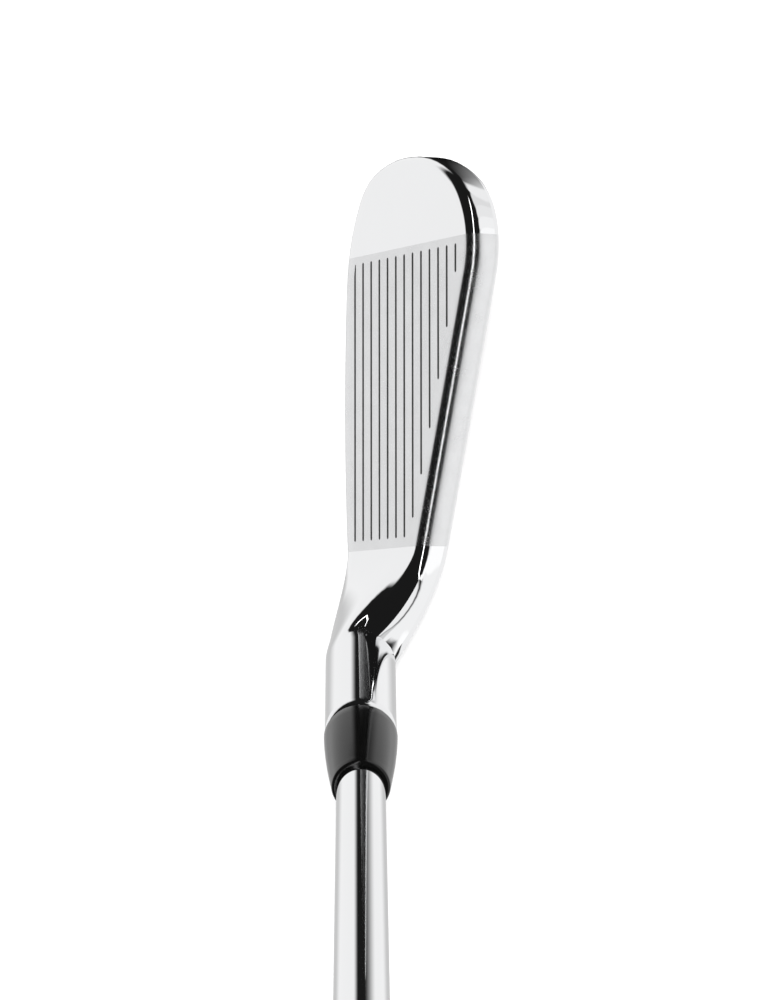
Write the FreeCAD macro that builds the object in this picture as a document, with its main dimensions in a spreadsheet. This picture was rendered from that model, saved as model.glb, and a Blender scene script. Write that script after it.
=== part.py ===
import FreeCAD, Part
import math
import os
import Sketcher

# Right-handed iron golf club, soled at address, in millimetres.
# Origin: the point where the shaft's axis meets the ground. +Z is up, the toe points to -X,
# the face looks to -Y, and the shaft leans towards +X by its lie angle.
# "along" is a distance along the shaft's axis from the origin.
# On the face, "up" runs up the face plane from the ground and "back" runs into the head.

Vec = FreeCAD.Vector

SIZES = [
    ("lie", 62.3, "angle between the shaft and the ground, degrees"),
    ("loft", 27.0, "angle of the face behind vertical, degrees"),
    ("face_offset", 4.3, "face plane meets the ground this far in front of the shaft's axis"),
    ("topline_height", 31.4, "up at x = 0 of the straight topline"),
    ("topline_slope", 0.3816, "rise of the topline for each millimetre towards the toe"),
    ("toe_start", -63.2, "x where the topline starts to bend around the toe"),
    ("toe_radius_1", 16.3, "radius of the toe's high corner"),
    ("toe_turn_1", 77.5, "turn of that arc, degrees"),
    ("toe_radius_2", 37.0, "radius of the toe's side"),
    ("toe_turn_2", 55.6, "turn of that arc, degrees"),
    ("toe_radius_3", 12.8, "radius of the toe's low corner"),
    ("toe_turn_3", 32.8, "turn of that arc, degrees"),
    ("toe_radius_4", 32.3, "radius where the toe meets the leading edge"),
    ("toe_turn_4", 30.8, "turn of that arc, degrees"),
    ("edge_radius", 345.0, "radius of the leading edge, seen square to the face"),
    ("topline_depth", 6.7, "thickness of the topline, square to the face"),
    ("bevel", 2.1, "radius of the front edge of the topline"),
    ("heel_edge", -9.0, "x of the heel end of the blade"),
    ("sole_camber", 340.0, "radius of the sole from heel to toe"),
    ("sole_roll", 45.0, "radius of the sole from front to back"),
    ("sole_contact_x", -38.0, "x of the sole's lowest point"),
    ("sole_contact_y", 6.0, "y of the sole's lowest point"),
    ("sole_back_toe", 18.5, "back of the muscle at the toe"),
    ("sole_back_heel", 15.5, "back of the muscle at the heel"),
    ("plate_inset", 3.0, "edge of the face plate inside the blade's outline"),
    ("plate_thickness", 2.4, "thickness of the face plate"),
    ("plate_heel", -10.2, "x of the face plate's heel end"),
    ("rim", 6.0, "wall left around the back cavity"),
    ("cavity_floor", 22.0, "up of the ledge where the open cavity starts"),
    ("channel_floor", 9.0, "up of the bottom of the hidden channel"),
    ("channel_depth", 8.0, "back of the hidden channel"),
    ("cavity_heel", -15.0, "x of the cavity's heel end"),
    ("weight_split", -62.0, "x where the toe weight meets the damping insert"),
    ("badge_front", 4.9, "back of the badge's front side"),
    ("badge_thickness", 0.9, "thickness of the badge"),
    ("pad_inset", 3.0, "edge of the damper pad inside the cavity"),
    ("groove_count", 13, "number of score lines"),
    ("groove_first", 7.06, "up of the lowest score line"),
    ("groove_pitch", 3.6, "spacing of the score lines"),
    ("groove_width", 0.75, "width of a score line"),
    ("groove_depth", 0.45, "depth of a score line"),
    ("groove_toe", -69.3, "x of the toe ends of the score lines"),
    ("groove_heel", -12.6, "x of the heel ends of the long score lines"),
    ("long_grooves", 7, "number of full-length score lines"),
    ("short_heel", -16.4, "x of the heel end of the first short score line"),
    ("short_step", 8.15, "how much shorter the next one is"),
    ("short_growth", 0.26, "growth of that step, for the square of the line's place"),
    ("hosel_radius", 6.95, "outer radius of the hosel"),
    ("heel_ball", 8.0, "along of the middle of the ball at the heel"),
    ("neck_start", -14.0, "x where the neck leaves the blade"),
    ("neck_end", 10.0, "x where the neck has met the hosel"),
    ("hosel_end", 58.0, "along of the hosel's top"),
    ("bore_end", 26.8, "along of the bottom of the hosel's bore"),
    ("bond_gap", 0.12, "thickness of the bond at the shaft's tip"),
    ("tip_start", 28.0, "along of the shaft's tip"),
    ("tip_radius", 4.48, "outer radius of the shaft at its tip"),
    ("taper_end", 174.0, "along where the tip's taper stops"),
    ("taper_radius", 4.985, "outer radius above the tip's taper"),
    ("wall", 0.45, "wall of the shaft"),
    ("step_first", 270.0, "along of the first step"),
    ("step_pitch", 36.0, "spacing of the steps"),
    ("step_count", 12, "number of steps"),
    ("step_length", 1.5, "length of one step's shoulder"),
    ("butt_radius", 7.62, "outer radius of the shaft's butt"),
    ("butt_end", 934.0, "along of the shaft's butt end"),
    ("ferrule_end", 78.9, "along of the ferrule's small end"),
    ("ferrule_big", 7.1, "largest outer radius of the ferrule"),
    ("ferrule_small", 5.5, "outer radius of the ferrule's small end"),
    ("ferrule_round", 0.7, "rounding of the ferrule's small end"),
    ("pin_length", 24.0, "length of the weight pin inside the shaft"),
    ("pin_head", 4.4, "radius of the weight pin's head"),
    ("band_start", 598.0, "along of the shaft band's lower end"),
    ("band_length", 28.0, "length of the shaft band"),
    ("band_film", 0.08, "thickness of the shaft band"),
    ("grip_start", 673.0, "along of the grip's mouth"),
    ("grip_mouth", 9.3, "outer radius of the grip's mouth"),
    ("grip_middle", 11.6, "outer radius of the grip at two thirds of its length"),
    ("grip_butt", 13.3, "outer radius of the grip at its butt"),
    ("tape_film", 0.15, "thickness of the grip tape"),
    ("tape_start", 676.0, "along of the tape's lower end"),
    ("cap_radius", 14.2, "radius of the grip's end cap"),
    ("cap_thickness", 6.0, "thickness of the grip's end cap"),
    ("cap_round", 2.0, "rounding of the end cap's rim"),
    ("vent_radius", 1.6, "radius of the vent hole in the end cap"),
]

doc = FreeCAD.newDocument("iron_golf_club")


def make_sheet():
    """Spreadsheet with every driving size: alias in A, value in B, meaning in C."""
    table = doc.addObject("Spreadsheet::Sheet", "sizes")
    for row, (alias, value, meaning) in enumerate(SIZES, 1):
        table.set(f"A{row}", alias)
        table.set(f"B{row}", str(value))
        table.set(f"C{row}", meaning)
        table.setAlias(f"B{row}", alias)
    doc.recompute()
    return table


sheet = make_sheet()


def size(alias):
    return float(getattr(sheet, alias))


# --- places -------------------------------------------------------------------------------

LIE = math.radians(size("lie"))
LOFT = math.radians(size("loft"))
SHAFT_WAY = Vec(math.cos(LIE), 0, math.sin(LIE))
SHAFT_LEFT = Vec(-math.sin(LIE), 0, math.cos(LIE))
BACK_WAY = Vec(0, math.cos(LOFT), -math.sin(LOFT))
ALONG_SHAFT = FreeCAD.Placement(Vec(0, 0, 0), FreeCAD.Rotation(Vec(0, 0, 1), SHAFT_WAY))


def head_point(x, up, back=0.0):
    """Point of the head from its x, its height up the face and its depth behind it."""
    y = -size("face_offset") + up * math.sin(LOFT) + back * math.cos(LOFT)
    return Vec(x, y, up * math.cos(LOFT) - back * math.sin(LOFT))


def topline_up(x):
    return size("topline_height") - size("topline_slope") * x


def finished(name, shape):
    """Sub-part whose shape is worked out here from the sheet's sizes."""
    part = doc.addObject("Part::Feature", name)
    part.Shape = shape
    part.Label = name
    part.Placement = FreeCAD.Placement()
    return part


def turned(name, corners):
    """Sub-part turned about the shaft's axis: a PartDesign body with one revolved sketch.

    Each corner is (radius, along), two expressions of the sheet's aliases."""
    body = doc.addObject("PartDesign::Body", name)
    body.Label = name
    sketch = body.newObject("Sketcher::SketchObject", name + "_profile")
    origin_planes = {plane.Role: plane for plane in body.Origin.OriginFeatures}
    sketch.AttachmentSupport = (origin_planes["XZ_Plane"], [""])
    sketch.MapMode = "FlatFace"
    values = [[sheet_value(text) for text in corner] for corner in corners]
    count = len(corners)
    for i in range(count):
        start = Vec(*values[i], 0)
        end = Vec(*values[(i + 1) % count], 0)
        sketch.addGeometry(Part.LineSegment(start, end), False)
    for i in range(count):
        sketch.addConstraint(Sketcher.Constraint("Coincident", i, 2, (i + 1) % count, 1))
    for i, (radius, along) in enumerate(corners):
        if values[i][0] == 0:
            sketch.addConstraint(Sketcher.Constraint("PointOnObject", i, 1, -2))
        else:
            bind(sketch, "DistanceX", i, values[i][0], radius, f"radius{i}")
        bind(sketch, "DistanceY", i, values[i][1], along, f"along{i}")
    turn = body.newObject("PartDesign::Revolution", name + "_turn")
    turn.Profile = sketch
    turn.ReferenceAxis = (sketch, ["V_Axis"])
    turn.Angle = 360
    body.Placement = ALONG_SHAFT
    return body


def bind(sketch, kind, line, value, text, label):
    """Distance from the origin to a line's start, bound to an expression of the sheet."""
    index = sketch.addConstraint(Sketcher.Constraint(kind, -1, 1, line, 1, value))
    sketch.renameConstraint(index, label)
    sketch.setExpression(f"Constraints.{label}", in_sheet(text))


def in_sheet(text):
    """The expression with each alias written as a reference to the sheet."""
    words = text.replace("(", " ( ").replace(")", " ) ").split()
    aliases = {alias for alias, _, _ in SIZES}
    return " ".join("sizes." + word if word in aliases else word for word in words)


def sheet_value(text):
    """The same expression worked out once, so that the sketch starts in its final shape."""
    probe = doc.getObject("probe") or doc.addObject("App::FeaturePython", "probe")
    if "value" not in probe.PropertiesList:
        probe.addProperty("App::PropertyFloat", "value")
    probe.setExpression("value", in_sheet(text))
    probe.recompute()
    return float(probe.value)


# --- head ---------------------------------------------------------------------------------


def blade_outline():
    """Outline of the blade on the face plane: straight topline, arcs around the toe and a
    long arc for the leading edge, each tangent to the one before."""
    heel = size("heel_edge")
    here = (size("toe_start"), topline_up(size("toe_start")))
    heading = math.pi - math.atan(size("topline_slope"))
    edges = [Part.makeLine(head_point(heel, topline_up(heel)), head_point(*here))]
    for number in range(1, 5):
        radius = size(f"toe_radius_{number}")
        turn = math.radians(size(f"toe_turn_{number}"))
        middle = along_arc(here, heading, radius, turn / 2)
        end = along_arc(here, heading, radius, turn)
        edges.append(Part.Arc(head_point(*here), head_point(*middle), head_point(*end)).toShape())
        here = end
        heading += turn
    radius = size("edge_radius")
    turn = math.asin((heel - here[0]) / radius + math.sin(heading)) - heading + 2 * math.pi
    middle = along_arc(here, heading, radius, turn / 2)
    end = along_arc(here, heading, radius, turn)
    edges.append(Part.Arc(head_point(*here), head_point(*middle), head_point(*end)).toShape())
    edges.append(Part.makeLine(head_point(*end), head_point(heel, topline_up(heel))))
    return Part.Wire(edges)


def along_arc(start, heading, radius, turn):
    """(x, up) reached from start after turning left by an angle on an arc of a radius."""
    x = start[0] + radius * (math.sin(heading + turn) - math.sin(heading))
    up = start[1] - radius * (math.cos(heading + turn) - math.cos(heading))
    return x, up


def slab(wire, front, back):
    """The wire's area, from one depth behind the face to another."""
    face = Part.Face(wire)
    face.translate(BACK_WAY * front)
    return face.extrude(BACK_WAY * (back - front))


def inset(wire, distance):
    return wire.makeOffset2D(-distance)


def head_block(x_low, x_high, up_low, up_high, front, back):
    """Box square to the face plane."""
    corners = [head_point(x_low, up_low), head_point(x_high, up_low),
               head_point(x_high, up_high), head_point(x_low, up_high)]
    return slab(Part.makePolygon(corners + corners[:1]), front, back)


def sole_barrel():
    """Barrel whose lowest line is the sole: rolled front to back, cambered heel to toe."""
    roll = size("sole_roll")
    camber = size("sole_camber")
    middle = Vec(size("sole_contact_x"), size("sole_contact_y"), 0)
    half = 36.0
    rise = roll - math.sqrt(roll * roll - half * half)
    front = middle + Vec(0, -half, rise)
    rear = middle + Vec(0, half, rise)
    top = Vec(0, 0, camber - rise)
    edges = [Part.Arc(front, middle, rear).toShape(), Part.makeLine(rear, rear + top),
             Part.makeLine(rear + top, front + top), Part.makeLine(front + top, front)]
    profile = Part.Face(Part.Wire(edges))
    return profile.revolve(middle + Vec(0, 0, camber), Vec(0, 1, 0), 360)


def back_profile(x, sole_back):
    """Side view of the blade at one x: thin topline above, muscle and sole below."""
    deep = size("topline_depth")
    corners = [(70, -4), (-25, -4), (-25, sole_back), (13.5, sole_back), (23.0, 11.5),
               (29.0, deep), (70, deep)]
    points = [head_point(x, up, back) for up, back in corners]
    return Part.makePolygon(points + points[:1])


def blade_solid():
    """The blade before it is hollowed out."""
    blank = slab(blade_outline(), 0, 32)
    front_edges = [edge for edge in blank.Edges if is_front_edge(edge)]
    blank = blank.makeFillet(size("bevel"), front_edges)
    sides = Part.makeLoft([back_profile(-95, size("sole_back_toe")),
                           back_profile(0, size("sole_back_heel"))], True, True)
    return blank.common(sides).common(sole_barrel())


def is_front_edge(edge):
    """An edge that lies on the face plane and isn't the blade's heel end."""
    ends = [edge.valueAt(edge.FirstParameter + k * (edge.LastParameter - edge.FirstParameter))
            for k in (0, 0.3, 1)]
    on_face = all(abs((p - head_point(0, 0)).dot(BACK_WAY)) < 1e-6 for p in ends)
    heel = all(abs(p.x - size("heel_edge")) < 1e-6 for p in ends)
    return on_face and not heel


def neck_section(part_way):
    """Section of the neck, part_way from the blade (0) to the inside of the hosel (1).

    The back of the neck bends towards the hosel later than its front."""
    x = size("neck_start") + part_way * (size("neck_end") - size("neck_start"))
    start = size("neck_start")
    top = topline_up(start)
    deep = size("topline_depth")
    blade_back = [head_point(start, top - 0.4, deep - 1.2), head_point(start, 24.0, 9.8),
                  head_point(start, 14.6, 14.4), Vec(start, 13.2, 2.2), Vec(start, 5.5, 0.9)]
    blade_front = [head_point(start, 3.6, 1.3), head_point(start, 8.0, 0.2),
                   head_point(start, 19.0, 0.2), head_point(start, top - 2.2, 0.2),
                   head_point(start, top - 0.4, 2.0)]
    hosel_back = [(6.7, 22.0), (6.8, 18.0), (6.4, 13.0), (4.6, 8.5), (0.0, 5.2)]
    hosel_front = [(-4.6, 8.5), (-6.6, 14.0), (-6.7, 19.0), (-3.6, 22.8), (1.0, 23.3)]
    late = part_way ** 1.3
    points = [blend(a, b, late) for a, b in zip(blade_back, hosel_back)]
    points += [blend(a, b, part_way) for a, b in zip(blade_front, hosel_front)]
    corners = [Vec(x, y, z) for y, z in points]
    return Part.makePolygon(corners + corners[:1])


def blend(blade_point, hosel_point, share):
    y = blade_point.y + share * (hosel_point[0] - blade_point.y)
    z = blade_point.z + share * (hosel_point[1] - blade_point.z)
    return y, z


def heel_solid():
    """Round hosel down to a ball at the heel, joined to the blade by the neck."""
    radius = size("hosel_radius")
    ball = size("heel_ball")
    tube = Part.makeCylinder(radius, size("hosel_end") - ball, SHAFT_WAY * ball, SHAFT_WAY)
    heel_end = Part.makeSphere(radius, SHAFT_WAY * ball)
    neck = Part.makeLoft([neck_section(k) for k in (0, 0.35, 0.7, 1)], True, False)
    return tube.fuse(heel_end).fuse(neck)


def hosel_bore():
    radius = tip_outer(size("hosel_end")) + size("bond_gap")
    start = size("bore_end")
    return Part.makeCylinder(radius, 80, SHAFT_WAY * start, SHAFT_WAY)


def tip_outer(along):
    """Outer radius of the shaft on its tip's taper."""
    share = (along - size("tip_start")) / (size("taper_end") - size("tip_start"))
    return size("tip_radius") + share * (size("taper_radius") - size("tip_radius"))


def plate_outline():
    """Outline of the face plate, inside the blade's outline and square at the heel."""
    return trimmed(size("plate_inset"), size("plate_heel"), -20)


def trimmed(distance, heel, low_up):
    """Blade's outline moved inwards, cut off at the heel and below a height."""
    area = Part.Face(inset(blade_outline(), distance))
    keep = head_block(-120, heel, low_up, 90, -1, 1)
    return area.common(keep).Faces[0].OuterWire


def hollow():
    """Cavity behind the face plate: open above the ledge, a hidden channel below it."""
    plate = size("plate_thickness")
    upper = slab(trimmed(size("rim"), size("cavity_heel"), size("cavity_floor")), plate, 40)
    whole = trimmed(size("rim"), size("cavity_heel"), size("channel_floor"))
    return upper.fuse(slab(whole, plate, size("channel_depth")))


def clubhead_body():
    """Cast body: hosel, heel, topline, sole and muscle, open for the face plate and cavity."""
    solid = blade_solid().fuse(heel_solid())
    pocket = slab(plate_outline(), -5, size("plate_thickness"))
    solid = solid.cut(pocket).cut(hollow()).cut(hosel_bore())
    return finished("clubhead_body", solid.removeSplitter())


def face_plate():
    """Forged face plate with its score lines cut square into the front."""
    plate = slab(plate_outline(), 0, size("plate_thickness"))
    half = size("groove_width") / 2
    for number in range(int(size("groove_count"))):
        up = size("groove_first") + number * size("groove_pitch")
        line = head_block(size("groove_toe"), score_line_heel(number), up - half, up + half,
                          -1, size("groove_depth"))
        plate = plate.cut(line)
    return finished("face_plate", plate)


def score_line_heel(number):
    """x of a score line's heel end: the upper lines get shorter along the topline."""
    place = number - size("long_grooves")
    if place < 0:
        return size("groove_heel")
    return size("short_heel") - size("short_step") * place - size("short_growth") * place ** 2


def toe_weight():
    """Tungsten block at the toe end of the hidden channel."""
    outline = trimmed(size("rim"), size("weight_split"), size("channel_floor"))
    block = slab(outline, size("plate_thickness"), size("channel_depth"))
    keep = head_block(-120, 20, -20, size("cavity_floor"), -5, 40)
    return finished("toe_weight", block.common(keep))


def damping_insert():
    """Urethane strip that fills the rest of the hidden channel behind the face."""
    block = head_block(size("weight_split"), size("cavity_heel"), size("channel_floor"),
                       size("cavity_floor"), size("plate_thickness"), size("channel_depth"))
    return finished("damping_insert", block)


def badge_outline(distance):
    """Cavity's open outline moved inwards."""
    area = trimmed(size("rim"), size("cavity_heel"), size("cavity_floor"))
    return inset(area, distance)


def cavity_badge():
    """Thin aluminium badge that closes the cavity."""
    front = size("badge_front")
    return finished("cavity_badge", slab(badge_outline(0.15), front,
                                         front + size("badge_thickness")))


def badge_damper_pad():
    """Rubber pad between the back of the face plate and the badge."""
    pad = slab(badge_outline(size("pad_inset")), size("plate_thickness"), size("badge_front"))
    return finished("badge_damper_pad", pad)


# --- parts on the shaft's axis ------------------------------------------------------------

TAPER = "( taper_radius - tip_radius ) / ( taper_end - tip_start )"


def on_taper(along):
    """Expression for the shaft's outer radius at a place on the tip's taper."""
    return f"tip_radius + ( {along} - tip_start ) * {TAPER}"


def shaft():
    """Stepped steel tube: tapered tip, parallel run, steps and parallel butt."""
    outer = [("tip_radius", "tip_start"), ("taper_radius", "taper_end")]
    growth = "( butt_radius - taper_radius ) / step_count"
    for number in range(int(size("step_count"))):
        foot = f"step_first + {number} * step_pitch"
        outer.append((f"taper_radius + {number} * {growth}", foot))
        outer.append((f"taper_radius + {number + 1} * {growth}", f"{foot} + step_length"))
    outer.append(("butt_radius", "butt_end"))
    inner = [(f"{radius} - wall", along) for radius, along in reversed(outer)]
    return turned("shaft", outer + inner)


def hosel_bond_sleeve():
    """Adhesive between the shaft's tapered tip and the hosel's straight bore."""
    bore = f"{on_taper('hosel_end')} + bond_gap"
    return turned("hosel_bond_sleeve", [(on_taper("tip_start"), "tip_start"), (bore, "tip_start"),
                                        (bore, "hosel_end"), (on_taper("hosel_end"), "hosel_end")])


def tip_weight_pin():
    """Brass swing-weight pin pressed into the shaft's tip, its head under the tube."""
    inside = "tip_radius - wall"
    return turned("tip_weight_pin", [("0", "bore_end"), ("pin_head", "bore_end"),
                                     ("pin_head", "tip_start"), (inside, "tip_start"),
                                     (inside, "tip_start + pin_length"),
                                     ("0", "tip_start + pin_length")])


def ferrule():
    """Tapered plastic collar that hides the joint between hosel and shaft."""
    length = "( ferrule_end - hosel_end )"
    drop = "( ferrule_big - ferrule_small )"
    outer = [("hosel_radius", "hosel_end"), ("ferrule_big", "hosel_end + 0.6")]
    for share in (0.2, 0.4, 0.6, 0.8):
        outer.append((f"ferrule_big - {drop} * {share**1.7:.3f}", f"hosel_end + {length} * {share}"))
    outer += [("ferrule_small", "ferrule_end - ferrule_round"),
              ("ferrule_small - ferrule_round * 0.3", "ferrule_end - ferrule_round * 0.3"),
              ("ferrule_small - ferrule_round", "ferrule_end")]
    bore = [(on_taper("ferrule_end"), "ferrule_end"), (on_taper("hosel_end"), "hosel_end")]
    return turned("ferrule", outer + bore)


def shaft_band():
    """Thin printed film around the shaft below the grip."""
    step = "( butt_radius - taper_radius ) / step_count"
    under = f"taper_radius + 10 * {step}"
    over = f"{under} + band_film"
    return turned("shaft_band", [(under, "band_start"), (over, "band_start"),
                                 (over, "band_start + band_length"),
                                 (under, "band_start + band_length")])


def grip_tape():
    """Double-sided tape on the shaft's butt."""
    over = "butt_radius + tape_film"
    return turned("grip_tape", [("butt_radius", "tape_start"), (over, "tape_start"),
                                (over, "butt_end"), ("butt_radius", "butt_end")])


def grip_sleeve():
    """Tapered rubber sleeve, thicker towards the butt."""
    length = "( butt_end - grip_start )"
    bore = "butt_radius + tape_film"
    return turned("grip_sleeve", [(bore, "grip_start"), ("grip_mouth - 0.8", "grip_start"),
                                  ("grip_mouth", "grip_start + 1.2"),
                                  ("grip_middle", f"grip_start + {length} * 0.667"),
                                  ("grip_butt", "butt_end - 14"), ("grip_butt", "butt_end"),
                                  (bore, "butt_end")])


def grip_end_cap():
    """Rounded rubber cap on the butt with the vent hole through its middle."""
    top = "butt_end + cap_thickness"
    return turned("grip_end_cap", [("vent_radius", "butt_end"), ("grip_butt", "butt_end"),
                                   ("cap_radius", "butt_end + 1.2"),
                                   ("cap_radius", f"{top} - cap_round"),
                                   ("cap_radius - cap_round * 0.3", f"{top} - cap_round * 0.3"),
                                   ("cap_radius - cap_round", top), ("vent_radius", top)])


# --- the club -----------------------------------------------------------------------------

subparts = [
    clubhead_body(), face_plate(), toe_weight(), damping_insert(), badge_damper_pad(),
    cavity_badge(), tip_weight_pin(), hosel_bond_sleeve(), ferrule(), shaft(), shaft_band(),
    grip_tape(), grip_sleeve(), grip_end_cap(),
]
if doc.getObject("probe"):
    doc.removeObject("probe")
doc.recompute()

for item in doc.Objects:
    if "Invalid" in item.State or "Error" in item.State:
        raise RuntimeError(f"{item.Name} failed: {item.State}")
for part in subparts:
    if part.Shape.isNull() or not part.Shape.isValid() or part.Shape.Volume <= 0:
        raise RuntimeError(f"{part.Label} has no valid solid")

os.makedirs("parts", exist_ok=True)
for part in subparts:
    part.Shape.exportStep(f"parts/{part.Label}.step")
    print(part.Label, len(part.Shape.Solids), "solid", round(part.Shape.Volume, 1), "mm3")
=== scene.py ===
import math

import bmesh
import bpy
from mathutils import Matrix, Vector
from mathutils.geometry import delaunay_2d_cdt

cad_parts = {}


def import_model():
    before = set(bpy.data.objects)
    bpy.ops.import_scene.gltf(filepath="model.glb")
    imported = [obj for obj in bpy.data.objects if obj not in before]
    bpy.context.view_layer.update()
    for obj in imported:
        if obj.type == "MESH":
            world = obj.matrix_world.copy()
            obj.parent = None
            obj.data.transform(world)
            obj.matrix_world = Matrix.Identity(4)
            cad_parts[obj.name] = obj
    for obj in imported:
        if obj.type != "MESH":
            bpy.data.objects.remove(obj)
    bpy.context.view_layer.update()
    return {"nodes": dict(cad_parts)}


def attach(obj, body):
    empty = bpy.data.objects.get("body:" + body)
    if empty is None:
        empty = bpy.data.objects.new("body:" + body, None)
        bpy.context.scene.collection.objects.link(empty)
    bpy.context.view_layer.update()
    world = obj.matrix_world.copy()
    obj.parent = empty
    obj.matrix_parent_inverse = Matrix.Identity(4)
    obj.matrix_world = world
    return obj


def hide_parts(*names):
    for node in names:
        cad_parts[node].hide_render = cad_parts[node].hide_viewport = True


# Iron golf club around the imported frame. Lengths are in millimetres until a mesh is made.
# "along" runs up the shaft's axis from the ground, "up" runs up the face plane, "back" runs
# behind it. A head profile point is (out, back): out of the blade's outline and behind the face.

MM = 0.001
LIE = math.radians(62.3)
LOFT = math.radians(27.0)
FACE_OFFSET = 4.3
SHAFT_WAY = Vector((math.cos(LIE), 0, math.sin(LIE)))
SHAFT_LEFT = Vector((-math.sin(LIE), 0, math.cos(LIE)))
SHAFT_BACK = Vector((0, 1, 0))

# Blade: the topline falls towards the heel, and the toe is a chain of (radius, degrees) arcs.
TOPLINE_HEIGHT = 31.4
TOPLINE_SLOPE = 0.3816
TOE_START = -63.2
TOE_ARCS = [(16.3, 77.5), (37.0, 55.6), (12.8, 32.8), (32.3, 30.8)]
EDGE_RADIUS = 345.0
CAVITY_END, CAVITY_TOE = -16.0, -79.0
PLATE_HEEL = -10.2
PLATE_THICKNESS = 2.4
LIP = 3.0
RIM = 6.0
CAVITY_FLOOR = 22.0
CHANNEL_FLOOR = 9.0
CHANNEL_DEPTH = 8.0

HOSEL_RADIUS = 6.95
HOSEL_END = 58.0
BORE_RADIUS = 4.75
BORE_END = 26.8

# Score lines: the lowest ones have full length, and each higher one starts nearer the toe.
GROOVE_COUNT = 13
GROOVE_FIRST = 7.06
GROOVE_PITCH = 3.6
GROOVE_WIDTH = 0.75
GROOVE_FLOOR = 0.42
GROOVE_DEPTH = 0.45
GROOVE_TOE = -69.31
GROOVE_HEEL = -12.62
LONG_GROOVES = 7
SHORT_HEEL, SHORT_STEP, SHORT_GROWTH = -16.4, 8.15, 0.26

# Edge radii along the topline and the leading edge, then the limits of the blasted area.
BEVEL = 2.1
EDGE_ROUND = 1.4
BLAST_TOE = -70.75
BLAST_HEEL = -10.7
BLAST_BACK = 6.2

# Count of points down the back and up the front of the neck, and steps along the neck.
NECK_SIDE, NECK_STEPS, HOSEL_STEPS = 11, 14, 12
# Rows of the rim's section: the edges of the topline's flat and the rear edge of its band.
FLAT_FRONT, FLAT_REAR, BAND_REAR = 7, 11, 13
PROFILE_COUNT = 22
# Angles round the hosel where the neck's flat, back and sole parts end, from the toe side.
TOE_ANGLE, FLAT_ANGLE, BAND_ANGLE, SOLE_ANGLE, FRONT_ANGLE = 4.0, 27.0, 87, 152, 262
# Directions in which the neck's curves reach the hosel, and a push towards the front.
CREASE_WAY = Vector((1, -1.12, -0.34))
BAND_WAY = Vector((1, -0.7, 0.5))
FRONT_PUSH = -0.13

# Shaft, ferrule, band and grip: distances along the shaft's axis, and radii.
TIP_START, TAPER_END = 28.0, 174.0
TIP_RADIUS, TAPER_RADIUS, BUTT_RADIUS = 4.48, 4.985, 7.62
WALL = 0.45
STEP_FIRST, STEP_PITCH, STEP_COUNT, STEP_LENGTH = 270.0, 36.0, 12, 1.5
BUTT_END = 934.0
FERRULE_END, FERRULE_BIG, FERRULE_SMALL = 78.9, 7.12, 5.5
BAND_START, BAND_LENGTH, BAND_FILM = 598.0, 28.0, 0.08
GRIP_START, GRIP_MOUTH, GRIP_MIDDLE, GRIP_BUTT = 673.0, 9.3, 11.6, 13.3
CAP_RADIUS, CAP_THICKNESS, VENT_RADIUS = 14.2, 6.0, 1.6

# Stage: angles in degrees, the floor in metres.
CAMERA_TILT, CAMERA_YAW, CAMERA_ROLL = 3.146, 0.404, 0.015
CAMERA_PLACE = Vector((28.38, -1.07, 907.85))
CAMERA_LENS, CAMERA_SENSOR = 159.7, 36.0
FLOOR_SIZE, FLOOR_DROP = 14.0, -0.0002
SUN_SPREAD, SUN_LEAN = 14, -3
# Strengths of the lights, and of the directions that the metal mirrors.
DARK = 0.012
SURROUND_LIGHT = 0.6
OVERHEAD_LIGHT = 3.3
GROUND, GROUND_UNDER = 1.06, 0.64
STRIP_SLANT, STRIP_HALF_WIDTH, STRIP_STRENGTH = -0.2, 0.09, 4.0
# Discs of the long softbox: azimuth, elevation and strength.
SOFTBOXES = [(10, 10, 0.35), (25, 13, 0.5), (38, 16, 0.75), (50, 19, 1.1), (62, 24, 1.25),
             (76, 29, 1.25), (90, 32, 1.25), (105, 31, 1.2), (120, 26, 1.1), (134, 18, 1.0),
             (147, 9, 0.9)]

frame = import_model()


# --- helpers ------------------------------------------------------------------------------


def head_point(x, up, back=0.0):
    y = -FACE_OFFSET + up * math.sin(LOFT) + back * math.cos(LOFT)
    return Vector((x, y, up * math.cos(LOFT) - back * math.sin(LOFT)))


def shaft_point(radius, angle, along):
    """Point round the shaft's axis; the angle in degrees runs from its toe side to its back."""
    turn = math.radians(angle)
    out = SHAFT_LEFT * math.cos(turn) + SHAFT_BACK * math.sin(turn)
    return SHAFT_WAY * along + out * radius


def smooth(value, low, high):
    share = min(max((value - low) / (high - low), 0.0), 1.0)
    return share * share * (3 - 2 * share)


def lerp(a, b, share):
    return a + (b - a) * share


def corner_key(point):
    return tuple(round(value, 3) for value in point)


def new_piece(name, bm, nodes, material, sharp_angle=35.0, creases=()):
    """Object from a bmesh in millimetres, riding on the frame in place of its CAD nodes."""
    bmesh.ops.remove_doubles(bm, verts=bm.verts, dist=1e-4)
    bmesh.ops.recalc_face_normals(bm, faces=bm.faces)
    limit = math.radians(sharp_angle)
    sharp = {frozenset(map(corner_key, pair)) for line in creases for pair in zip(line, line[1:])}
    for face in bm.faces:
        face.smooth = True
    for edge in bm.edges:
        wide = len(edge.link_faces) == 2 and edge.calc_face_angle(0.0) > limit
        if wide or frozenset(corner_key(v.co) for v in edge.verts) in sharp:
            edge.smooth = False
    bmesh.ops.scale(bm, vec=(MM, MM, MM), verts=bm.verts)
    mesh = bpy.data.meshes.new(name)
    bm.to_mesh(mesh)
    bm.free()
    piece = bpy.data.objects.new(name, mesh)
    bpy.context.collection.objects.link(piece)
    for finish_or_shade in material if isinstance(material, list) else [material]:
        mesh.materials.append(finish_or_shade)
    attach(piece, "root")
    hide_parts(*nodes)
    return piece


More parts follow.
